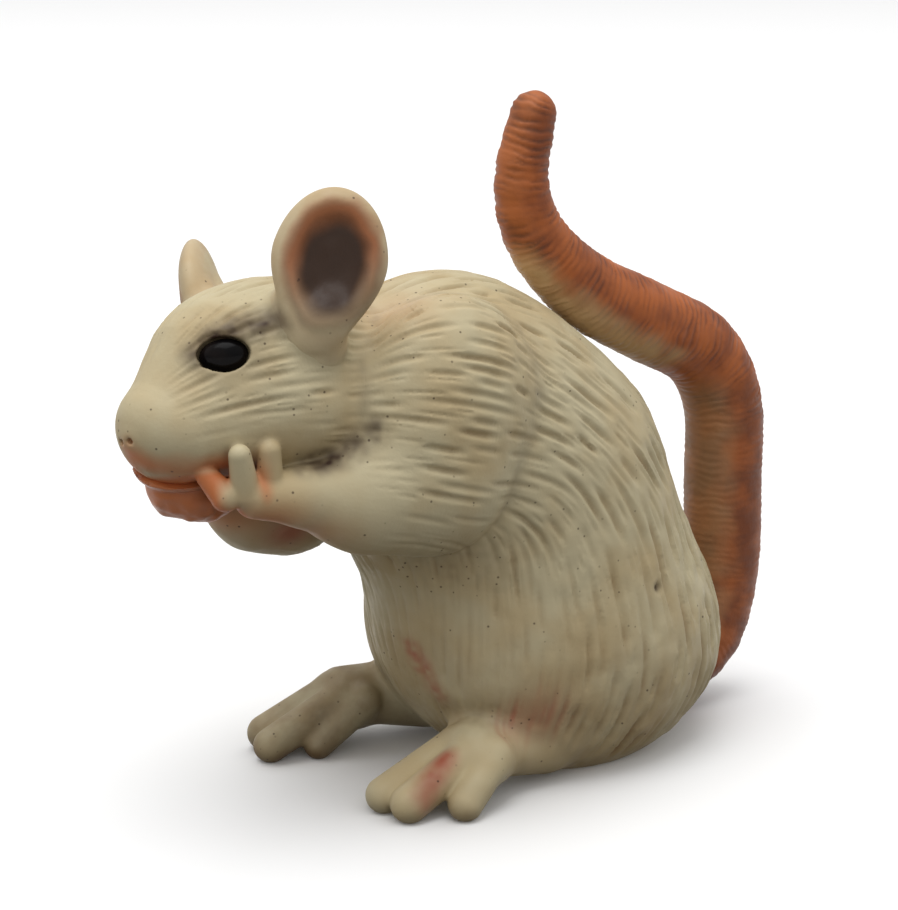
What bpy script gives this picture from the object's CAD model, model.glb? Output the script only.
"""A solid moulded vinyl mouse, sitting up and eating, with its ringed tail looped up its back.

The whole figure is one sculpted skin: egg, limb and tail shapes blended by distance, as a modeller would
push clay together. Each casting of the frame is the part of that skin that lies nearest its own shapes,
cut out as a closed mesh, so that seams meet. Combed fur and tail rings are then pressed into the meshes.
The sculpting is in millimetres, in the frame of the CAD model. Meshes, lights and camera are in metres.
"""

import math
from concurrent.futures import ThreadPoolExecutor
from functools import partial

import bpy
import numpy as np
import openvdb
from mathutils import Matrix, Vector
from mathutils.kdtree import KDTree


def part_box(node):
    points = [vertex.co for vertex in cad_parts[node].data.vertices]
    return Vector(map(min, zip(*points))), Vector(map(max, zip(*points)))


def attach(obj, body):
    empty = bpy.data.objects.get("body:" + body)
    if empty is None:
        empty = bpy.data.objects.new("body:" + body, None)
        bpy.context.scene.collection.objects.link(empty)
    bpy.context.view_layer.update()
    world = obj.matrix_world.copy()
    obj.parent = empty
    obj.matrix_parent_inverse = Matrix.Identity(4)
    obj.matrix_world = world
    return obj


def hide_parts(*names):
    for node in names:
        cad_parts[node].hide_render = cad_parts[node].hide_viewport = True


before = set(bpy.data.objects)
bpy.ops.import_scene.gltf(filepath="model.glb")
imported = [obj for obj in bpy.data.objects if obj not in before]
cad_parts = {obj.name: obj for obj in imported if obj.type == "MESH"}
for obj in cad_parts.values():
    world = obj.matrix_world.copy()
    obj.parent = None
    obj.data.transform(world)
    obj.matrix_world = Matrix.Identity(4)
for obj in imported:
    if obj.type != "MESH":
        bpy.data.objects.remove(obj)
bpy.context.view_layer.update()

MM = 0.001
SIDES = {"left": 1, "right": -1}
OUT_OF_REACH = 4.0


# ---------------------------------------------------------------- anchors from the frame
def node_box(name):
    """Lowest and highest corner of a CAD node, in millimetres."""
    low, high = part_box(name)
    return np.array(low) / MM, np.array(high) / MM


def node_centre(name):
    low, high = node_box(name)
    return (low + high) / 2


def turn(about_x=0, about_y=0, about_z=0):
    """Rotation by degrees about X, then Y, then Z."""
    ax, ay, az = np.radians([about_x, about_y, about_z])
    rx = np.array([[1, 0, 0], [0, np.cos(ax), -np.sin(ax)], [0, np.sin(ax), np.cos(ax)]])
    ry = np.array([[np.cos(ay), 0, np.sin(ay)], [0, 1, 0], [-np.sin(ay), 0, np.cos(ay)]])
    rz = np.array([[np.cos(az), -np.sin(az), 0], [np.sin(az), np.cos(az), 0], [0, 0, 1]])
    return rz @ ry @ rx


EYE_CENTRE = {side: node_centre(f"{word}_eye") for word, side in SIDES.items()}
EAR_CENTRE = {side: node_centre(f"{word}_ear") for word, side in SIDES.items()}
HEAD_CENTRE = np.array([0.0, -19.4, 25.4])

# ---------------------------------------------------------------- distance shapes
def point(*values):
    return np.array(values, float)


def egg(p, centre, radii, axes=None):
    """About the distance to an ellipsoid."""
    q = p - centre
    if axes is not None:
        q = q @ axes
    near = np.sqrt(((q / radii) ** 2).sum(-1))
    slope = np.sqrt(((q / np.square(radii)) ** 2).sum(-1)) + 1e-9
    return near * (near - 1) / slope


def limb(p, start, end, start_radius, end_radius):
    """Distance to a tapered bar with round ends."""
    along = end - start
    share = np.clip((p - start) @ along / (along @ along), 0, 1)
    gap = p - start - share[:, None] * along
    return np.sqrt((gap**2).sum(-1)) - (start_radius + (end_radius - start_radius) * share)


def chain(p, route, radii, reach=0.3):
    """Tapered bars end to end along a route, blended at their joints."""
    whole = np.full(len(p), OUT_OF_REACH)
    for start, end, r0, r1 in zip(route[:-1], route[1:], radii[:-1], radii[1:]):
        near = ((p - (start + end) / 2) ** 2).sum(-1) < (r0 + OUT_OF_REACH) ** 2
        if near.any():
            whole[near] = blend(whole[near], limb(p[near], start, end, r0, r1), reach)
    return whole


def blend(a, b, reach):
    """Union with a fillet about reach wide."""
    mix = np.clip(0.5 + 0.5 * (b - a) / reach, 0, 1)
    return b * (1 - mix) + a * mix - reach * mix * (1 - mix)


def carve(a, b, reach):
    """The shape a without b, with a rounded lip."""
    return -blend(-a, b, reach)


def merge(reach, *shapes):
    """Union of all the shapes, with fillets about reach wide."""
    whole = shapes[0]
    for shape in shapes[1:]:
        whole = blend(whole, shape, reach)
    return whole


def smooth(low, high, value):
    """Eases from 0 at low to 1 at high."""
    share = np.clip((value - low) / (high - low), 0, 1)
    return share * share * (3 - 2 * share)


# ---------------------------------------------------------------- the castings' own shapes
HEAD_TURN = turn(0, -13, 5)
EYE_RADII = point(0.8, 1.3, 0.88)
EYE_SOCKET = point(0.75, 1.42, 1.0)
EYE_TURN = {side: HEAD_TURN @ turn(0, 0, -41 * side) for side in (1, -1)}


def torso_shape(p):
    haunches = [egg(p, point(4.0 * s, -1.2, 6.8), point(4.7, 8.8, 6.9), turn(-15)) for s in (1, -1)]
    trunk = merge(
        3.5,
        egg(p, point(0, -0.4, 8.4), point(8.5, 10.9, 8.9)),
        egg(p, point(0, 2.2, 5.4), point(7.8, 8.7, 5.8)),
        egg(p, point(0, -2.7, 15.6), point(8.0, 9.8, 10.0), turn(-25)),
        egg(p, point(0, -8.2, 21.3), point(7.0, 9.2, 8.4)),
    )
    return merge(1.5, trunk, *haunches)


def head_shape(p):
    q = (p - HEAD_CENTRE) @ HEAD_TURN
    whole = merge(
        1.6,
        egg(q, point(0, 0.4, -0.4), point(5.2, 6.6, 5.4)),
        limb(q, point(0, -2.3, -0.2), point(0, -6.9, -2.3), 4.5, 2.3),
        limb(q, point(0, -4.2, 0.7), point(0, -7.3, -1.7), 2.7, 1.8),
        limb(q, point(2.6, 0.4, -2.3), point(0.9, -6.0, -2.7), 3.1, 2.2),
        limb(q, point(-2.6, 0.4, -2.3), point(-0.9, -6.0, -2.7), 3.1, 2.2),
    )
    nose = egg(q, point(0, -8.9, -2.4), point(0.8, 0.5, 0.6))
    whole = blend(whole, nose, 0.5)
    for s in (1, -1):
        brow = egg(q, point(2.85 * s, -2.7, 2.0), point(0.7, 1.7, 0.6))
        nostril = egg(q, point(0.38 * s, -9.35, -2.55), point(0.22, 0.3, 0.16))
        whole = carve(blend(whole, brow, 1.4), nostril, 0.12)
        whole = carve(whole, egg((p - EYE_CENTRE[s]) @ EYE_TURN[s], point(0.3 * s, 0, 0), EYE_SOCKET), 0.3)
    jaw = limb(q, point(0, -3.5, -3.5), point(0, -6.0, -3.8), 1.9, 0.9)
    return blend(whole, jaw, 0.3)


EAR_TURN = {1: HEAD_TURN @ turn(-5, 18, 52), -1: HEAD_TURN @ turn(4, -38, -46)}


def ear_shape(p, side):
    q = (p - EAR_CENTRE[side]) @ EAR_TURN[side]
    narrow = 1 - 0.3 * smooth(1.0, -4.5, q[:, 2])
    q = q / np.column_stack([narrow, np.ones(len(q)), np.ones(len(q))])
    plate = egg(q, point(0, 0, 0), point(3.1, 1.15, 4.3))
    dish = egg(q, point(0.15 * side, -1.65, 0.35), point(2.35, 1.75, 3.35))
    stalk = limb(q, point(0.3 * side, 0.4, -2.4), point(1.1 * side, 1.0, -3.6), 1.2, 1.0)
    front = limb(q, point(-1.5 * side, 0.5, -0.8), point(-2.0 * side, 1.6, -2.8), 0.7, 1.2)
    root = limb(q, point(0, 0.6, 1.0), point(-0.4 * side, 3.3, -3.8), 0.5, 1.5)
    if side < 0:
        root = blend(root, limb(q, point(-0.8, 0.2, 1.4), point(-3.0, 1.6, -3.0), 0.6, 1.6), 0.5)
    return merge(0.9, carve(plate, dish, 0.5), stalk, front, root)


# Shoulder, elbow, forearm, wrist and palm of each arm. The left paw is raised to the cheek, and the right
# arm hangs lower.
ARM_JOINTS = {
    1: (
        (4.8, -11.6, 22.2), (5.0, -11.6, 18.7), (5.1, -16.8, 18.9),
        (5.0, -20.3, 19.5), (4.7, -23.0, 19.8),
    ),
    -1: (
        (-4.8, -12.0, 21.4), (-4.2, -15.8, 16.4), (-4.0, -18.0, 17.0),
        (-3.0, -20.8, 18.6), (-1.9, -23.0, 19.4),
    ),
}

# Knuckle and tip of each finger, from the palm of the left paw.
FINGERS = (
    ((0.2, 0.7, 0.2), (0.5, 0.6, 2.5)),
    ((0.2, -0.7, 0.3), (0.5, -1.2, 2.5)),
    ((-0.2, -1.7, 0.2), (-1.0, -2.3, 1.2)),
)


def forelimb_shape(p, side):
    mirror = point(side, 1, 1)
    shoulder, elbow, forearm, wrist, palm = (point(*joint) for joint in ARM_JOINTS[side])
    whole = merge(
        2.2,
        egg(p, shoulder, point(3.9, 5.9, 7.2), turn(-15)),
        limb(p, elbow, forearm, 3.0, 2.5),
        limb(p, forearm, wrist, 2.5, 1.6),
    )
    whole = blend(whole, limb(p, wrist, palm, 1.6, 1.2), 0.6)
    for knuckle, tip in FINGERS:
        finger = limb(p, palm + point(*knuckle) * mirror, palm + point(*tip) * mirror, 0.8, 0.6)
        whole = blend(whole, finger, 0.2)
    return whole


TOE_KNUCKLE_HEIGHT = 3.0
# Knuckle and tip of each toe, from the heel of the left foot, and the radius of its tip.
TOES = (
    ((-1.3, -4.0), (-1.6, -7.0), 0.9),
    ((-0.5, -5.2), (-0.9, -9.8), 1.05),
    ((1.0, -5.2), (1.1, -9.4), 1.1),
    ((2.0, -4.2), (2.7, -6.7), 1.0),
)


def foot_shape(p, side):
    heel, out = (point(5.1, -5.0, 0), 0) if side > 0 else (point(-5.3, -6.3, 0), -10)
    q = (p - heel) @ turn(0, 0, out) * point(side, 1, 1)
    whole = merge(
        0.8,
        limb(q, point(0, 0.5, 2.6), point(0.4, -4.4, 2.9), 2.3, 1.7),
        egg(q, point(0.5, -4.4, 2.5), point(2.6, 2.0, 1.7)),
    )
    for knuckle, tip, radius in TOES:
        toe = limb(q, point(*knuckle, TOE_KNUCKLE_HEIGHT), point(*tip, radius - 0.1), 1.1, radius)
        whole = blend(whole, toe, 0.35)
    return whole


TAIL_ROUTE = np.array([
    [0, 9.0, 2.5], [0, 12.5, 4.2], [0, 13.9, 8.5], [0, 13.9, 14.5], [0, 13.7, 19.3], [0, 11.6, 22.9],
    [0, 7.2, 25.2], [0, 2.5, 27.6], [0, -1.1, 30.9], [0, -2.3, 34.4], [0.2, -1.6, 38.2],
])
TAIL_STEPS = 34
DENSE_STEPS = 24


def spline(route, count):
    """Points evenly spaced along a smooth curve through the route."""
    ends = np.vstack([2 * route[0] - route[1], route, 2 * route[-1] - route[-2]])
    dense = []
    for a, b, c, d in zip(ends[:-3], ends[1:-2], ends[2:-1], ends[3:]):
        t = np.linspace(0, 1, DENSE_STEPS, endpoint=False)[:, None]
        dense.append(0.5 * (2 * b + (c - a) * t + (2 * a - 5 * b + 4 * c - d) * t**2
                            + (3 * b - a - 3 * c + d) * t**3))
    dense = np.vstack(dense + [route[-1:]])
    run = np.concatenate([[0], np.cumsum(np.linalg.norm(np.diff(dense, axis=0), axis=1))])
    even = np.linspace(0, run[-1], count)
    return np.stack([np.interp(even, run, dense[:, axis]) for axis in range(3)], -1)


TAIL_LINE = spline(TAIL_ROUTE, TAIL_STEPS)
TAIL_RADII = 2.4 - 1.1 * smooth(0.6, 1.04, np.linspace(0, 1, TAIL_STEPS))


def tail_shape(p):
    whole = np.full(len(p), OUT_OF_REACH)
    low, high = TAIL_LINE.min(0) - 5, TAIL_LINE.max(0) + 5
    near = np.all((p > low) & (p < high), axis=1)
    whole[near] = chain(p[near], TAIL_LINE, TAIL_RADII)
    return whole


def morsel_shape(p):
    return egg(p, point(0.2, -24.5, 19.4), point(1.9, 2.6, 1.7), turn(-24))


def eye_shape(p, side):
    return egg((p - EYE_CENTRE[side]) @ EYE_TURN[side], point(0, 0, 0), EYE_RADII)


SHAPES = {"torso": torso_shape, "head": head_shape, "tail": tail_shape, "food_morsel": morsel_shape}
for word, side in SIDES.items():
    SHAPES[f"{word}_forelimb"] = partial(forelimb_shape, side=side)
    SHAPES[f"{word}_hind_foot"] = partial(foot_shape, side=side)
    SHAPES[f"{word}_ear"] = partial(ear_shape, side=side)

FORELIMBS = ("left_forelimb", "right_forelimb")
EARS = ("left_ear", "right_ear")
FEET = ("left_hind_foot", "right_hind_foot")
# Which castings a casting touches, so that only those are worked out near it.
TOUCHES = {
    "torso": ("torso", "head", "tail", *FORELIMBS, *FEET),
    "head": ("head", "torso", "food_morsel", *FORELIMBS, *EARS),
    "tail": ("tail", "torso"),
    "food_morsel": ("food_morsel", "head", *FORELIMBS),
    **{name: (*FORELIMBS, "torso", "head", "food_morsel") for name in FORELIMBS},
    **{name: (name, "torso") for name in FEET},
    **{name: (name, "head", "torso") for name in EARS},
}


def shapes_near(p, name):
    """Distance to each casting that this one touches."""
    return {other: SHAPES[other](p) for other in TOUCHES[name]}


def skin(p, shapes):
    """The blended outside of the castings given, flat where it stands on the floor."""
    fillets = {"head": 1.6, "food_morsel": 0.2, "tail": 0.3}
    fillets |= dict.fromkeys(FORELIMBS, 0.25 + 1.35 * smooth(19, 25, p[:, 2]) * smooth(-20, -17, p[:, 1]))
    fillets |= dict.fromkeys(FEET, 0.8)
    fillets |= dict.fromkeys(EARS, 1.4)
    whole = shapes.get("torso", shapes.get("head"))
    for name, fillet in fillets.items():
        if name in shapes:
            whole = blend(whole, shapes[name], fillet)
    return np.maximum(whole, -p[:, 2])


# ---------------------------------------------------------------- random fields
LATTICE = 32
random = np.random.default_rng(7)
RANDOM_GRID = random.uniform(-1, 1, LATTICE**3)


def noise(p):
    """Smooth random values from -1 to 1 that change over about one unit of p."""
    base = np.floor(p).astype(np.int64)
    t = p - base
    t = t * t * (3 - 2 * t)
    near = base % LATTICE
    far = (near + 1) % LATTICE
    tx, ty, tz = t.T
    planes = []
    for x in (near[:, 0], far[:, 0]):
        rows = []
        for y in (near[:, 1], far[:, 1]):
            row = (x * LATTICE + y) * LATTICE
            low, high = RANDOM_GRID[row + near[:, 2]], RANDOM_GRID[row + far[:, 2]]
            rows.append(low + (high - low) * tz)
        planes.append(rows[0] + (rows[1] - rows[0]) * ty)
    return planes[0] + (planes[1] - planes[0]) * tx


# ---------------------------------------------------------------- which way the fur lies
# Where the fur points, at places down the left side. The right side mirrors it.
HEAD_COMB = (
    ((2.0, -7.0, -2.0), (0.3, 1.0, 0.1)),
    ((3.2, -4.8, 2.6), (0.1, 1.0, 0.55)),
    ((4.0, -1.5, 3.6), (0.1, 1.0, -0.1)),
    ((5.0, 1.0, 2.0), (0.0, 1.0, -0.35)),
    ((4.5, -3.0, -1.0), (0.2, 1.0, -0.05)),
    ((5.5, 0.5, -2.0), (0.0, 1.0, 0.05)),
    ((0.0, -4.0, 4.0), (0.0, 1.0, 0.35)),
    ((0.0, 0.0, 5.0), (0.0, 1.0, 0.0)),
)
BODY_COMB = (
    ((2.0, -13.0, 29.0), (0.0, 1.0, 0.0)),
    ((3.0, -9.0, 29.5), (0.0, 1.0, -0.15)),
    ((0.0, -5.0, 29.0), (0.0, 1.0, -0.35)),
    ((0.0, 2.0, 25.0), (0.0, 0.75, -0.65)),
    ((0.0, 8.0, 18.0), (0.0, 0.45, -0.9)),
    ((0.0, 11.0, 9.0), (0.0, 0.0, -1.0)),
    ((7.0, -4.0, 24.0), (0.2, 0.85, -0.55)),
    ((8.0, -1.0, 20.0), (0.0, 0.7, -0.75)),
    ((8.5, -3.0, 15.0), (0.0, 0.35, -0.94)),
    ((8.6, 1.0, 10.0), (0.0, 0.1, -1.0)),
    ((7.0, 7.0, 8.0), (0.0, -0.05, -1.0)),
    ((5.0, 10.0, 12.0), (0.0, 0.2, -1.0)),
    ((8.0, -6.0, 10.0), (0.0, 0.1, -1.0)),
    ((6.0, -9.0, 12.0), (0.0, 0.0, -1.0)),
    ((8.0, 2.0, 4.0), (0.0, -0.25, -1.0)),
    ((7.0, -6.0, 5.0), (0.0, -0.3, -1.0)),
    ((8.0, -14.0, 26.0), (0.0, 1.0, -0.2)),
    ((8.2, -11.0, 23.0), (0.0, 1.0, -0.25)),
    ((8.2, -8.0, 24.0), (0.1, 1.0, -0.45)),
    ((8.0, -8.0, 19.0), (0.0, 1.0, -0.2)),
    ((6.0, -15.0, 20.0), (0.0, 1.0, -0.35)),
    ((4.5, -20.0, 20.0), (0.3, 1.0, -0.3)),
)
COMB_REACH = 2.6


def comb():
    """Where the fur is combed on both sides, and which way, in the frame of the CAD model."""
    places, directions = [], []
    for side in (point(1, 1, 1), point(-1, 1, 1)):
        for place, direction in HEAD_COMB:
            places.append(HEAD_CENTRE + HEAD_TURN @ (point(*place) * side))
            directions.append(HEAD_TURN @ (point(*direction) * side))
        for place, direction in BODY_COMB:
            places.append(point(*place) * side)
            directions.append(point(*direction) * side)
    directions = np.array(directions)
    return np.array(places), directions / np.linalg.norm(directions, axis=1, keepdims=True)


COMB_PLACES, COMB_DIRECTIONS = comb()


def fur_direction(p):
    """The combed directions, blended by how near each one is."""
    far = (p**2).sum(-1)[:, None] - 2 * p @ COMB_PLACES.T + (COMB_PLACES**2).sum(-1)
    far -= far.min(1, keepdims=True)
    flow = np.exp(-far / (2 * COMB_REACH**2)) @ COMB_DIRECTIONS
    return flow / (np.linalg.norm(flow, axis=1, keepdims=True) + 1e-9)


# ---------------------------------------------------------------- how deep the relief is, by place
SHARE_REACH = 0.35


def belonging(shapes):
    """Soft shares, adding to 1, of which casting a place belongs to."""
    names = list(shapes)
    near = np.stack([shapes[name] for name in names], -1)
    shares = np.exp(-np.clip(near - near.min(1, keepdims=True), 0, 20) / SHARE_REACH)
    shares /= shares.sum(1, keepdims=True)
    return {name: shares[:, index] for index, name in enumerate(names)}


def fur_depth(p, share):
    """How deep the combing goes: fading out on the snout, paws and feet, and deepest on the haunches."""
    q = (p - HEAD_CENTRE) @ HEAD_TURN
    snout = smooth(-8.4, -5.5, q[:, 1])
    low_cheek = 1 - 0.85 * smooth(-1.6, -3.2, q[:, 2]) * smooth(0.5, -2.0, q[:, 1])
    haunch = 0.95 + 0.45 * smooth(2, 7, p[:, 1]) - 0.5 * smooth(-3, -7, p[:, 1]) * smooth(16, 10, p[:, 2])
    depth = share.get("head", 0) * 0.62 * snout * low_cheek
    depth = depth + share.get("torso", 0) * haunch * smooth(0.2, 1.5, p[:, 2])
    arm = smooth(-18.5, -14.5, p[:, 1]) * (0.25 + 0.7 * smooth(17.0, 20.5, p[:, 2]))
    for name in FORELIMBS:
        depth = depth + share.get(name, 0) * arm
    return depth


RING_SPACING = 0.46


def tail_rings(p):
    """Fine rings round the tail from -1 to 1, and how far each place faces the back that it lies on."""
    run = np.zeros(len(p))
    best = np.full(len(p), 1e9)
    toward = np.zeros(len(p))
    start_run = 0.0
    for a, b in zip(TAIL_LINE[:-1], TAIL_LINE[1:]):
        span = np.linalg.norm(b - a)
        along = (b - a) / span
        gap = p - a
        ahead = gap @ along
        gap = gap - np.clip(ahead, 0, span)[:, None] * along
        far = (gap**2).sum(-1)
        closer = far < best
        best = np.where(closer, far, best)
        run = np.where(closer, start_run + ahead, run)
        inward = np.cross(point(1, 0, 0), along)
        toward = np.where(closer, gap @ inward / (np.sqrt(far) + 1e-6), toward)
        start_run += span
    wobble = 0.22 * noise(p / 1.3 + 5) + 0.08 * noise(p / 0.5 + 9)
    wave = np.sin((run + wobble) * (2 * math.pi / RING_SPACING))
    patchy = 0.2 + 0.8 * smooth(-0.5, 0.5, noise(p / 0.9 + 23))
    return wave * patchy * (0.55 + 0.45 * smooth(14, 22, p[:, 2])), toward


# ---------------------------------------------------------------- where the paint goes
MASKS = ("recess", "orange", "umber", "rose", "pale", "speck")
LIP_LINE = [point(0, -9.1, -3.2), point(0.8, -8.5, -3.8), point(1.8, -6.9, -4.2), point(2.6, -5.0, -4.5)]
BROW_LINE = [point(2.4, -5.8, 1.3), point(3.0, -5.0, 2.0), point(3.8, -3.3, 2.4), point(4.7, -0.8, 2.4)]
CREASE_LINE = [point(6.6, -16.8, 22.8), point(6.2, -18.6, 21.7), point(5.4, -20.4, 21.1)]
GROIN_LINE = [point(2.0, -11.2, 8.4), point(2.4, -10.6, 7.0), point(3.0, -9.8, 5.8)]
TOE_LINE = [point(6.4, -12.1, 3.3), point(6.7, -13.1, 2.4), point(6.8, -14.0, 1.4)]
FLANK_PIT = point(8.2, 1.7, 11.3)
RIGHT_FOOT_WASH = 0.38


def spot(p, centre, size):
    """1 at the centre, fading out over about size."""
    return np.exp(-(((p - centre) / size) ** 2).sum(-1))


def line(p, route, reach):
    """1 along the route, fading to 0 at reach from it."""
    gap = np.min([limb(p, a, b, 0, 0) for a, b in zip(route[:-1], route[1:])], axis=0)
    return 1 - smooth(0, 1, gap / reach)


def strongest(*layers):
    """The greatest of the layers at each place."""
    return np.maximum.reduce(layers)


def body_paint(p, groove, seam):
    """The paint that runs across the castings, the same on both sides of every seam."""
    q = (p - HEAD_CENTRE) @ HEAD_TURN
    both = np.column_stack([np.abs(q[:, 0]), q[:, 1:]])
    even = np.column_stack([np.abs(p[:, 0]), p[:, 1:]])
    ragged = noise(p / 0.9 + 31)
    grain = noise(p / 0.35 + 57)

    below_mouth = smooth(-4.3, -5.0, q[:, 2]) * smooth(-2.5, -4.0, q[:, 1]) * smooth(3.6, 2.8, both[:, 0])
    orange = strongest(
        0.95 * line(both, LIP_LINE, 1.3 + 0.3 * ragged),
        below_mouth,
        # left paw
        0.8 * spot(p, point(3.6, -23.4, 18.2), point(2.4, 2.2, 1.3)),
        0.75 * spot(p, point(5.0, -22.8, 18.5), point(2.2, 2.2, 1.1)),
        0.6 * spot(p, point(4.9, -19.8, 17.9), point(2.0, 2.4, 1.0)),
        0.8 * spot(p, point(5.2, -23.0, 20.6), point(1.4, 0.4, 1.3)),
        # right paw
        0.9 * spot(p, point(-2.0, -22.4, 18.6), point(2.6, 3.0, 2.2)),
        0.7 * spot(p, point(-2.6, -20.6, 16.9), point(2.6, 2.2, 1.3)),
        # nape and crown
        0.22 * spot(even, point(3.0, -13.2, 29.0), point(2.6, 2.4, 2.0)),
        0.2 * spot(q, point(-2.6, 0.5, 4.8), point(2.4, 2.0, 1.6)),
    )

    dirt = 0.8 + 0.4 * grain
    umber = strongest(
        1.1 * line(both, BROW_LINE, 1.55 + 0.35 * ragged) * (0.8 + 0.2 * grain),
        0.5 * spot(both, point(2.85, -4.5, 1.1), point(1.6, 1.9, 1.35)),
        0.95 * line(even, CREASE_LINE, 1.35) * (0.7 + 0.4 * ragged + 0.3 * grain),
        0.85 * spot(p, point(2.7, -24.3, 20.5), point(1.5, 0.8, 0.9)),
        spot(p, FLANK_PIT, point(0.6, 0.28, 0.25)),
        0.3 * spot(even, point(5.6, -11.2, 14.4), point(3.6, 3.4, 1.9)) * dirt,
        0.35 * spot(even, point(4.2, -9.0, 5.0), point(3.0, 2.4, 0.9)) * dirt,
        0.22 * seam * smooth(-0.4, 0.6, ragged),
    )

    haunch = spot(p, point(7.6, -6.4, 4.9), point(1.8, 1.5, 1.5)) + spot(p, point(7.2, -8.0, 4.6), 0.8)
    rose = strongest(
        0.75 * line(p, GROIN_LINE, 1.3 + 0.4 * ragged) * (0.7 + 0.6 * grain),
        0.8 * spot(p, point(-1.6, -17.3, 15.6), point(2.0, 1.6, 1.2)),
        0.5 * spot(p, point(2.2, -16.8, 17.4), point(2.4, 2.0, 0.9)),
        haunch * (0.35 + 0.65 * groove),
        0.95 * line(p, TOE_LINE, 1.25) * (0.85 + 0.15 * grain),
    )

    speck = strongest(
        spot(even, point(5.6, -11.8, 14.0), point(3.2, 3.6, 1.6)),
        spot(even, point(4.0, -13.2, 28.4), point(2.8, 2.6, 2.0)),
    )
    return {"orange": orange, "umber": umber, "rose": rose, "speck": 0.27 + 0.35 * speck}


def ear_paint(p, side):
    """Orange round the inside of the ear, nearly black in the middle, and bare at its foot."""
    q = (p - EAR_CENTRE[side]) @ EAR_TURN[side]
    out = np.hypot((q[:, 0] - 0.25 * side) / 2.6, (q[:, 2] - 0.1) / 3.6) + 0.06 * noise(p / 0.8 + 3)
    foot = q[:, 2] - 0.35 * q[:, 0] * side
    inside = smooth(0.12, -0.12, q[:, 1] - 0.45 * (1 - out)) * smooth(-4.4, -2.6, foot)
    ring = smooth(1.1, 0.82, out) * (0.3 + 0.7 * smooth(-2.8, 1.2, foot))
    orange = 0.9 * inside * ring + 0.12 * smooth(0.9, 1.05, out)
    umber = inside * np.maximum(smooth(1.04, 0.5, out), 0.4 * smooth(1.1, 0.9, out))
    return {"orange": orange, "umber": umber}


def foot_paint(p, side):
    """A brown wash, stronger near the floor and all over the right foot."""
    wash = 0.2 * smooth(1.2, 0.2, p[:, 2]) + 0.1 * smooth(-0.2, 0.6, noise(p / 1.5 + 13))
    return wash + RIGHT_FOOT_WASH if side < 0 else wash


GROOVE_DEPTH = 0.27
LOCK_WAVER = 0.05
PIT_DEPTH = 0.3
RING_HEIGHT = 0.035
SEAM_WIDTH = 0.9


def finish_of(p, name):
    """How far the surface stands out, in millimetres, and the masks that the paint follows."""
    p, groove = p[:, :3], p[:, 3]
    shapes = shapes_near(p, name)
    share = belonging(shapes)
    nearest = np.sort(np.stack(list(shapes.values()), -1), axis=1)
    seam = smooth(SEAM_WIDTH, 0.0, nearest[:, 1] - nearest[:, 0])
    masks = dict.fromkeys(MASKS, np.zeros(len(p)))
    depth = np.zeros(len(p))
    height = np.zeros(len(p))
    if name in FURRED:
        depth = fur_depth(p, share) * (1 - 0.5 * seam)
        height = depth * (-GROOVE_DEPTH * groove - LOCK_WAVER * noise(p / 0.9 + 19))
        height = height - PIT_DEPTH * spot(p, FLANK_PIT, 0.3)
    if name == "food_morsel":
        height = (1 - seam) * (0.2 * noise(p / 1.3 + 2) + 0.06 * noise(p / 0.5 + 8))
    if name == "tail":
        ring, toward = tail_rings(p)
        height = RING_HEIGHT * ring
        lying = smooth(21.5, 23.5, p[:, 2]) * smooth(31.5, 29.0, p[:, 2]) * smooth(9.5, 7.5, p[:, 1])
        upright = smooth(22.5, 19.5, p[:, 2])
        pale = smooth(0.1, 0.95, toward + 0.25 * noise(p / 0.9 + 77))
        masks["pale"] = pale * np.clip(lying + 0.4 * upright, 0.05, 1)
        masks["recess"] = np.maximum(smooth(0.2, -0.9, ring), 0.6 * upright)
        masks["umber"] = 0.17 * upright
    else:
        masks |= body_paint(p, groove, seam)
        chin = smooth(25.5, 20, p[:, 2]) * share.get("head", 0)
        shade = 0.4 * smooth(14, 3, p[:, 2]) * share.get("torso", 0) + 0.3 * chin
        masks["recess"] = np.clip(0.75 * depth * groove**2 + shade, 0, 1)
    if name in EARS:
        ear_masks = ear_paint(p, 1 if name == EARS[0] else -1)
        masks |= {mask: np.maximum(masks[mask], share[name] * ear_masks[mask]) for mask in ear_masks}
    if name in FEET:
        wash = foot_paint(p, 1 if name == FEET[0] else -1)
        masks["umber"] = np.maximum(masks["umber"], 0.7 * share[name] * wash)
        masks["recess"] = np.maximum(masks["recess"], 1.5 * share[name] * wash)
    return np.column_stack([height, *(masks[mask] for mask in MASKS)])


FURRED = ("torso", "head", *FORELIMBS, *FEET)


# ---------------------------------------------------------------- meshing
CHUNK = 12000
POOL = ThreadPoolExecutor(4)


def spread(function, p):
    """Runs a function of points over chunks of them, side by side."""
    chunks = np.array_split(p, max(1, len(p) // CHUNK))
    return np.concatenate(list(POOL.map(function, chunks)))


def voxel_surface(value, low, high, voxel):
    """Vertices and quads of the zero surface of value inside a box."""
    coarse = 4
    counts = np.ceil((high - low) / (voxel * coarse)).astype(int)
    blocks = np.stack(np.meshgrid(*[np.arange(n) + 0.5 for n in counts], indexing="ij"), -1)
    rough = spread(value, low + (blocks.reshape(-1, 3) - 0.5 / coarse) * voxel * coarse).reshape(counts)
    near = np.abs(rough) < voxel * coarse * 1.6
    fill = 3 * voxel
    field = np.kron(np.clip(rough, -fill, fill), np.ones((coarse,) * 3))
    cells = np.argwhere(np.kron(near, np.ones((coarse,) * 3, bool)))
    field[tuple(cells.T)] = np.clip(spread(value, low + cells * voxel), -fill, fill)
    grid = openvdb.FloatGrid(background=fill)
    grid.copyFromArray(np.ascontiguousarray(field, dtype=np.float32))
    corners, quads = grid.convertToQuads()
    return np.asarray(corners, float) * voxel + low, np.asarray(quads, int)


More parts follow.
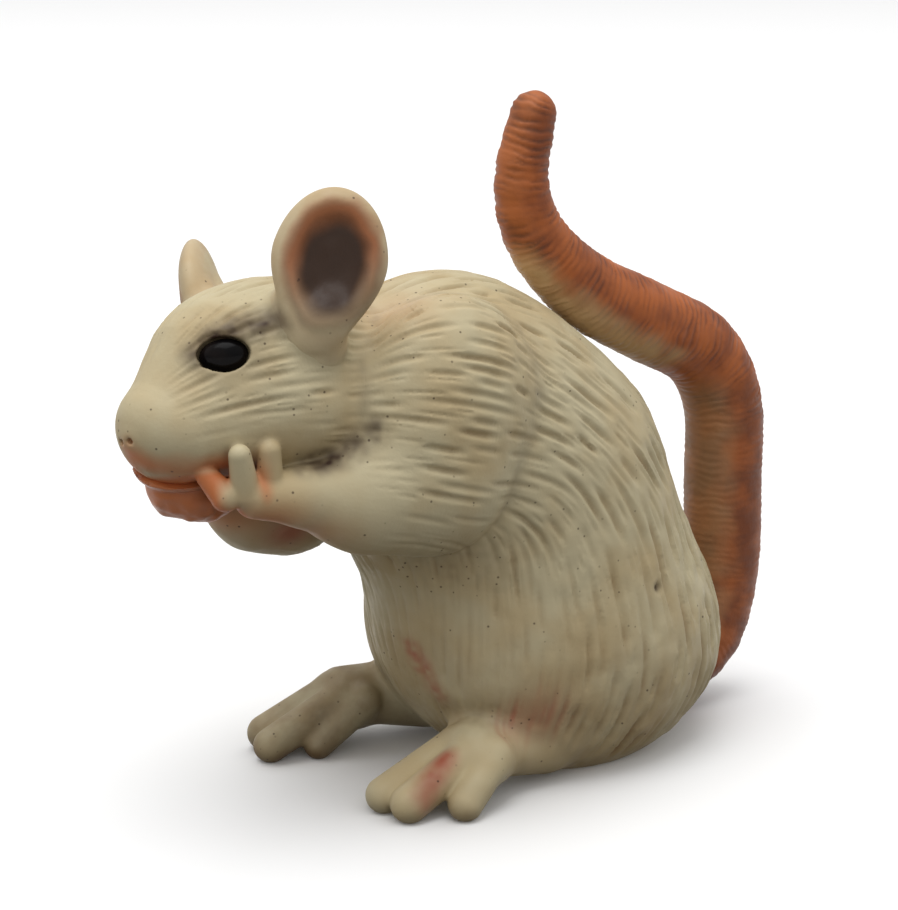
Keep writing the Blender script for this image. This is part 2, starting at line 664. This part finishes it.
def split(corners, quads):
    """Each quad in four."""
    count = len(corners)
    ends = np.stack([quads, np.roll(quads, -1, axis=1)], -1).reshape(-1, 2)
    ends.sort(axis=1)
    keys, which = np.unique(ends[:, 0] * count + ends[:, 1], return_inverse=True)
    middles = (corners[keys // count] + corners[keys % count]) / 2
    centres = corners[quads].mean(1)
    edge = count + which.reshape(-1, 4)
    centre = count + len(keys) + np.arange(len(quads))
    parts = [np.stack([quads[:, i], edge[:, i], centre, edge[:, i - 1]], -1) for i in range(4)]
    return np.vstack([corners, middles, centres]), np.vstack(parts)


SLOPE_STEP = 0.04
TETRAHEDRON = np.array([[1, 1, 1], [1, -1, -1], [-1, 1, -1], [-1, -1, 1]])


def slope(value, p):
    """The direction in which value grows fastest, and value itself."""
    samples = [value(p + corner * SLOPE_STEP) for corner in TETRAHEDRON]
    lean = sum(sample[:, None] * corner for sample, corner in zip(samples, TETRAHEDRON))
    return lean / (4 * SLOPE_STEP), sum(samples) / 4


def settle(value, corners, most):
    """Moves corners onto the zero surface of value, and gives its normals there."""

    def moved(p):
        lean, height = slope(value, p)
        steep = (lean**2).sum(-1) + 1e-6
        p = p - lean * np.clip(height / steep, -most, most)[:, None]
        return np.hstack([p, lean / np.sqrt(steep)[:, None]])

    both = spread(moved, corners)
    return both[:, :3], both[:, 3:]


# ---------------------------------------------------------------- combed strokes
# Each stroke is a groove that follows the fur. Its places are a stride apart, and strokes keep clear of
# each other, so that they lie side by side with rounded locks between them. Strokes are at least SHORTEST
# and at most LONGEST gaps long.
STRIDE = 0.2
REACH_STEPS = 22
SEEDS = 7000
SHORTEST = 2.2


STROKE_SPACING = 0.66
FINE_SHARE = 0.52
LONGEST = 12


def stroke_gap(p):
    """The distance between neighbouring strokes: wide on the rump, narrow on the head."""
    rear = smooth(-5.0, 2.0, p[:, 1] + 0.25 * (18 - p[:, 2]))
    head = smooth(-16.5, -18.5, p[:, 1])
    return STROKE_SPACING + 0.3 * rear - 0.04 * head


def figure(p):
    """The whole skin, with every casting."""
    return skin(p, {name: shape(p) for name, shape in SHAPES.items()})


def stroke_lines():
    """A long line down and up the fur through each of many scattered places on the skin."""
    low, high = node_box("torso")
    head_low, head_high = node_box("head")
    low, high = np.minimum(low, head_low), np.maximum(high, head_high)
    p = random.uniform(low - 0.5, high + 0.5, (SEEDS, 3))
    for _ in range(7):
        p, _normals = settle(figure, p, 1.5)
    p = p[np.abs(spread(figure, p)) < 0.05]
    ways = []
    for sense in (1, -1):
        q, normals = settle(figure, p, 0.1)
        way = []
        for _ in range(REACH_STEPS):
            flow = fur_direction(q)
            flow -= (flow * normals).sum(-1, keepdims=True) * normals
            flow /= np.linalg.norm(flow, axis=1, keepdims=True) + 1e-6
            q, normals = settle(figure, q + flow * (sense * STRIDE), 0.1)
            way.append(q)
        ways.append(way)
    down, up = ways
    return np.stack([*reversed(up), p, *down], 1)


def crowded(place, gap, taken):
    """Whether a stroke already passes within gap of the place."""
    x, y, z = (int(math.floor(value)) for value in place)
    for i in (x - 1, x, x + 1):
        for j in (y - 1, y, y + 1):
            for k in (z - 1, z, z + 1):
                for a, b, c in taken.get((i, j, k), ()):
                    if (place[0] - a) ** 2 + (place[1] - b) ** 2 + (place[2] - c) ** 2 < gap * gap:
                        return True
    return False


def comb_strokes(lines, gaps, most, deepest, taken):
    """Picks strokes that keep clear of those taken: their places, how deep each is and half its width."""
    lengths = random.uniform(0.35, 1.0, len(lines)) * most * gaps[:, REACH_STEPS]
    bites = random.uniform(0.45, 1.0, len(lines)) * deepest
    found = []
    for track, gap, length, bite in zip(lines.tolist(), gaps.tolist(), lengths.tolist(), bites.tolist()):
        if crowded(track[REACH_STEPS], 0.9 * gap[REACH_STEPS], taken):
            continue
        limit = min(int(length / 2 / STRIDE), REACH_STEPS)
        ends = []
        for sense in (1, -1):
            end = REACH_STEPS
            while abs(end + sense - REACH_STEPS) <= limit:
                if crowded(track[end + sense], 0.62 * gap[end + sense], taken):
                    break
                end += sense
            ends.append(end)
        last, first = ends
        if (last - first) * STRIDE < SHORTEST * gap[REACH_STEPS]:
            continue
        for index in range(first, last):
            place, after = track[index], track[index + 1]
            taken.setdefault(tuple(int(math.floor(value)) for value in place), []).append(place)
            share = (index + 0.5 - first) / (last - first)
            depth = bite * min(1.0, 3.2 * min(share, 1 - share) + 0.05)
            middle = [(a + b) / 2 for a, b in zip(place, after)]
            found += [(*place, depth, gap[index] / 2), (*middle, depth, gap[index] / 2)]
    return found


def all_strokes():
    """Long deep strokes first, then fine shallow ones in the room between them."""
    lines = stroke_lines()
    gaps = stroke_gap(lines.reshape(-1, 3)).reshape(lines.shape[:2])
    taken = {}
    strokes = comb_strokes(lines, gaps, most=LONGEST, deepest=1.0, taken=taken)
    strokes += comb_strokes(lines[::-1], gaps[::-1] * FINE_SHARE, most=LONGEST, deepest=0.4, taken=taken)
    return np.array(strokes)


def find_tree(places):
    tree = KDTree(len(places))
    for index, place in enumerate(places):
        tree.insert(place, index)
    tree.balance()
    return tree


STROKES = all_strokes()
STROKE_DEPTHS, STROKE_HALVES = STROKES[:, 3], STROKES[:, 4]
STROKE_TREE = find_tree(STROKES[:, :3].tolist())


def grooves(p):
    """The depth of the nearest stroke where it passes, from 1 at the deepest to 0 on the locks between."""
    found = [STROKE_TREE.find(place)[1:] for place in p.tolist()]
    index, gap = np.array(found).T
    index = index.astype(int)
    return STROKE_DEPTHS[index] * smooth(0.92, 0.0, gap / STROKE_HALVES[index])


# How far a casting runs on inside its neighbours, and how far it dips under them there.
OVERLAP = 0.5
SINK = 0.08


def casting_value(name):
    """The skin where this casting's own shape is the nearest, closed off inside the figure."""

    def value(p):
        shapes = shapes_near(p, name)
        others = np.min([shape for other, shape in shapes.items() if other != name], axis=0)
        beyond = shapes[name] - others
        outside = skin(p, shapes) + SINK * smooth(0, OVERLAP, beyond)
        return np.maximum(outside, beyond - OVERLAP)

    return value


# ---------------------------------------------------------------- pieces
CAST_MARGIN = 2.2
EYE_MARGIN = 0.6
EYE_VOXEL = 0.12


def add_mesh(name, corners, quads, masks, material):
    mesh = bpy.data.meshes.new(name)
    mesh.vertices.add(len(corners))
    mesh.vertices.foreach_set("co", (corners * MM).astype(np.float32).ravel())
    mesh.loops.add(quads.size)
    mesh.loops.foreach_set("vertex_index", quads.astype(np.int32).ravel())
    mesh.polygons.add(len(quads))
    mesh.polygons.foreach_set("loop_start", np.arange(0, quads.size, 4, dtype=np.int32))
    mesh.polygons.foreach_set("use_smooth", np.ones(len(quads), bool))
    mesh.update(calc_edges=True)
    mesh.validate()
    for mask, values in masks.items():
        layer = mesh.attributes.new(mask, "FLOAT", "POINT")
        layer.data.foreach_set("value", values.astype(np.float32))
    piece = bpy.data.objects.new(name, mesh)
    bpy.context.scene.collection.objects.link(piece)
    mesh.materials.append(material)
    return piece


def casting(name, voxel, material):
    """One casting of the figure, meshed, combed and painted, in place of its CAD node."""
    value = casting_value(name)
    low, high = node_box(name)
    corners, quads = voxel_surface(value, low - CAST_MARGIN, high + CAST_MARGIN, voxel)
    corners, _ = settle(value, corners, voxel)
    corners, _ = settle(value, corners, voxel)
    corners, quads = split(corners, quads)
    corners, normals = settle(value, corners, voxel / 2)

    groove = grooves(corners) if name in FURRED else np.zeros(len(corners))
    dressed = spread(partial(finish_of, name=name), np.column_stack([corners, groove]))
    masks = dict(zip(MASKS, dressed[:, 1:].T))
    corners = corners + normals * dressed[:, :1]
    piece = add_mesh(f"{name}_skin", corners, quads, masks, material)
    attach(piece, "root")
    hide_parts(name)


# ---------------------------------------------------------------- materials
def srgb(red, green, blue):
    """Linear colour of a display colour given from 0 to 255."""
    share = np.array([red, green, blue]) / 255
    return (*np.where(share <= 0.04045, share / 12.92, ((share + 0.055) / 1.055) ** 2.4), 1.0)


def shader(name, roughness):
    material = bpy.data.materials.new(name)
    material.use_nodes = True
    nodes = material.node_tree.nodes
    bsdf = nodes["Principled BSDF"]
    bsdf.inputs["Roughness"].default_value = roughness
    return material, material.node_tree, bsdf


def mix(tree, factor, below, above):
    """A colour mix node: above over below by factor. Each of them is a socket or a plain value."""
    node = tree.nodes.new("ShaderNodeMix")
    node.data_type = "RGBA"
    for key, value in ((0, factor), (6, below), (7, above)):
        if isinstance(value, bpy.types.NodeSocket):
            tree.links.new(value, node.inputs[key])
        else:
            node.inputs[key].default_value = value
    return node.outputs[2]


def math_node(tree, operation, a, b):
    node = tree.nodes.new("ShaderNodeMath")
    node.operation = operation
    for key, value in enumerate((a, b)):
        if isinstance(value, bpy.types.NodeSocket):
            tree.links.new(value, node.inputs[key])
        else:
            node.inputs[key].default_value = value
    return node.outputs[0]


def attribute(tree, name):
    node = tree.nodes.new("ShaderNodeAttribute")
    node.attribute_name = name
    return node.outputs["Fac"]


def mottle(tree, size, detail=3.0):
    """Noise over the object's own space, with patches about size metres wide."""
    place = tree.nodes.new("ShaderNodeTexCoord")
    node = tree.nodes.new("ShaderNodeTexNoise")
    node.inputs["Scale"].default_value = 1 / size
    node.inputs["Detail"].default_value = detail
    tree.links.new(place.outputs["Object"], node.inputs["Vector"])
    return node.outputs["Fac"]


def ramp(tree, value, low, high):
    node = tree.nodes.new("ShaderNodeMapRange")
    node.interpolation_type = "SMOOTHSTEP"
    node.inputs["From Min"].default_value = low
    node.inputs["From Max"].default_value = high
    tree.links.new(value, node.inputs["Value"])
    return node.outputs["Result"]


CREAM = srgb(198, 186, 152)
WARM_CREAM = srgb(189, 170, 131)
OCHRE = srgb(128, 98, 60)
ORANGE = srgb(196, 116, 68)
UMBER = srgb(54, 34, 20)
ROSE = srgb(162, 76, 58)
TERRACOTTA = srgb(178, 98, 48)
DARK_TERRACOTTA = srgb(142, 74, 36)
BEIGE = srgb(204, 170, 126)
SPECK_SPACING = 0.00045


def painted_vinyl(name, light, dark, wash, roughness, patch=0.005):
    """Matte vinyl in two mottled tones, with a wash in its recesses and the shared paints over it."""
    material, tree, bsdf = shader(name, roughness)
    patches = ramp(tree, mottle(tree, patch), 0.35, 0.68)
    colour = mix(tree, patches, light, dark)
    worn = math_node(tree, "MULTIPLY", attribute(tree, "recess"), ramp(tree, mottle(tree, 0.0022), 0.2, 0.75))
    colour = mix(tree, worn, colour, wash)
    colour = mix(tree, attribute(tree, "pale"), colour, BEIGE)
    for mask, paint in (("orange", ORANGE), ("rose", ROSE), ("umber", UMBER)):
        colour = mix(tree, attribute(tree, mask), colour, paint)
    colour = mix(tree, specks(tree), colour, UMBER)
    tree.links.new(colour, bsdf.inputs["Base Color"])
    bsdf.inputs["Specular IOR Level"].default_value = 0.32
    uneven = varied(tree, mottle(tree, 0.0009), roughness - 0.09, roughness + 0.09)
    tree.links.new(uneven, bsdf.inputs["Roughness"])
    tree.links.new(grain(tree, 0.00022, 0.25), bsdf.inputs["Normal"])
    return material


def specks(tree):
    """Tiny dark pits, strewn where the speck mask lets them."""
    place = tree.nodes.new("ShaderNodeTexCoord")
    cells = tree.nodes.new("ShaderNodeTexVoronoi")
    cells.inputs["Scale"].default_value = 1 / SPECK_SPACING
    tree.links.new(place.outputs["Object"], cells.inputs["Vector"])
    dots = ramp(tree, cells.outputs["Distance"], 0.21, 0.09)
    chance = math_node(tree, "MULTIPLY", cells.outputs["Color"], attribute(tree, "speck"))
    chosen = ramp(tree, chance, 0.19, 0.23)
    return math_node(tree, "MULTIPLY", math_node(tree, "MULTIPLY", dots, chosen), 0.75)


def varied(tree, value, low, high):
    """Spreads noise, which mostly stays near the middle, from low to high."""
    node = tree.nodes.new("ShaderNodeMapRange")
    node.inputs["From Min"].default_value = 0.3
    node.inputs["From Max"].default_value = 0.7
    node.inputs["To Min"].default_value = low
    node.inputs["To Max"].default_value = high
    tree.links.new(value, node.inputs["Value"])
    return node.outputs["Result"]


def grain(tree, size, strength):
    """The faint orange peel of moulded vinyl."""
    node = tree.nodes.new("ShaderNodeBump")
    node.inputs["Strength"].default_value = strength
    node.inputs["Distance"].default_value = 0.00006
    tree.links.new(mottle(tree, size, 2.0), node.inputs["Height"])
    return node.outputs["Normal"]


def eye_lacquer():
    """Black lacquer with a faint brown bloom."""
    material, tree, bsdf = shader("eye_gloss_paint", 0.2)
    bloom = ramp(tree, mottle(tree, 0.0012), 0.4, 0.75)
    tree.links.new(mix(tree, bloom, srgb(10, 9, 10), srgb(26, 20, 18)), bsdf.inputs["Base Color"])
    tree.links.new(varied(tree, mottle(tree, 0.0005), 0.16, 0.24), bsdf.inputs["Roughness"])
    bsdf.inputs["Specular IOR Level"].default_value = 0.08
    return material


fur = painted_vinyl("fur_vinyl_paint", CREAM, WARM_CREAM, OCHRE, 0.56)
bare = painted_vinyl("foot_vinyl_paint", CREAM, WARM_CREAM, OCHRE, 0.54)
ear_paint_coat = painted_vinyl("ear_vinyl_paint", CREAM, WARM_CREAM, OCHRE, 0.5, 0.003)
food = painted_vinyl("food_vinyl_paint", srgb(190, 112, 70), srgb(178, 126, 114), OCHRE, 0.42, 0.0022)
tail_coat = painted_vinyl("tail_vinyl_paint", TERRACOTTA, DARK_TERRACOTTA, srgb(104, 56, 32), 0.5, 0.0022)
eye_gloss = eye_lacquer()

casting("torso", 0.26, fur)
casting("head", 0.2, fur)
casting("tail", 0.22, tail_coat)
casting("food_morsel", 0.16, food)
for word in SIDES:
    casting(f"{word}_forelimb", 0.22, fur)
    casting(f"{word}_hind_foot", 0.18, bare)
    casting(f"{word}_ear", 0.18, ear_paint_coat)


def eye(word, side):
    value = partial(eye_shape, side=side)
    low, high = node_box(f"{word}_eye")
    corners, quads = voxel_surface(value, low - EYE_MARGIN, high + EYE_MARGIN, EYE_VOXEL)
    corners, _ = settle(value, corners, 0.1)
    piece = add_mesh(f"{word}_eye_dome", corners, quads, {}, eye_gloss)
    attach(piece, "root")
    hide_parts(f"{word}_eye")


for word, side in SIDES.items():
    eye(word, side)


# ---------------------------------------------------------------- floor, light and camera
def stage_floor():
    """A plain pale sheet that runs out of sight."""
    reach = 8.0
    mesh = bpy.data.meshes.new("floor")
    corners = [(-reach, -reach, 0), (reach, -reach, 0), (reach, reach, 0), (-reach, reach, 0)]
    mesh.from_pydata(corners, [], [(0, 1, 2, 3)])
    floor = bpy.data.objects.new("floor", mesh)
    bpy.context.scene.collection.objects.link(floor)
    material, _tree, bsdf = shader("floor_paper", 0.9)
    bsdf.inputs["Base Color"].default_value = (0.95, 0.95, 0.95, 1)
    bsdf.inputs["Specular IOR Level"].default_value = 0.1
    mesh.materials.append(material)
    floor.visible_diffuse = False


def sky():
    """A soft dome of light, brightest overhead and dim below."""
    world = bpy.data.worlds.new("studio")
    world.use_nodes = True
    tree = world.node_tree
    place = tree.nodes.new("ShaderNodeTexCoord")
    height = tree.nodes.new("ShaderNodeSeparateXYZ")
    tree.links.new(place.outputs["Generated"], height.inputs["Vector"])
    glow = tree.nodes.new("ShaderNodeValToRGB")
    tree.links.new(height.outputs["Z"], math_slot(tree, glow))
    stops = glow.color_ramp.elements
    stops[0].position, stops[0].color = 0.42, (0.06, 0.055, 0.045, 1)
    stops[1].position, stops[1].color = 1.0, (0.95, 0.95, 0.95, 1)
    horizon = stops.new(0.52)
    horizon.color = (0.64, 0.64, 0.64, 1)
    tree.links.new(glow.outputs["Color"], tree.nodes["Background"].inputs["Color"])
    tree.nodes["Background"].inputs["Strength"].default_value = 1.0
    bpy.context.scene.world = world


def math_slot(tree, glow):
    """Lets a height from -1 to 1 drive a colour ramp from 0 to 1."""
    half = tree.nodes.new("ShaderNodeMath")
    half.operation = "MULTIPLY_ADD"
    half.inputs[1].default_value = 0.5
    half.inputs[2].default_value = 0.5
    tree.links.new(half.outputs[0], glow.inputs["Fac"])
    return half.inputs[0]


def softbox(name, place, aim, size, power):
    data = bpy.data.lights.new(name, "AREA")
    data.size = size
    data.energy = power
    lamp = bpy.data.objects.new(name, data)
    lamp.location = place
    lamp.rotation_euler = (Vector(aim) - Vector(place)).to_track_quat("-Z", "Y").to_euler()
    bpy.context.scene.collection.objects.link(lamp)


AZIMUTH, ELEVATION = math.radians(55), math.radians(14)
CAMERA_DISTANCE = 0.135
FOCAL_LENGTH = 89.7231
SENSOR_WIDTH = 36
back = np.array([
    math.sin(AZIMUTH) * math.cos(ELEVATION),
    -math.cos(AZIMUTH) * math.cos(ELEVATION),
    math.sin(ELEVATION),
])
stage_floor()
sky()
softbox("top_light", (0.05, -0.18, 1.2), (0, -0.005, 0.02), 0.9, 7.2)
bpy.context.scene.view_settings.view_transform = "Standard"

lens = bpy.data.cameras.new("camera")
camera = bpy.data.objects.new("camera", lens)
bpy.context.scene.collection.objects.link(camera)
target = np.array([-0.0028, -0.0054, 0.018])
camera.location = target + back * CAMERA_DISTANCE
camera.rotation_mode = "QUATERNION"
camera.rotation_quaternion = Vector(-back).to_track_quat("-Z", "Y")
lens.sensor_width = SENSOR_WIDTH
lens.lens = FOCAL_LENGTH
lens.clip_start = 0.01
lens.clip_end = 30
bpy.context.scene.camera = camera
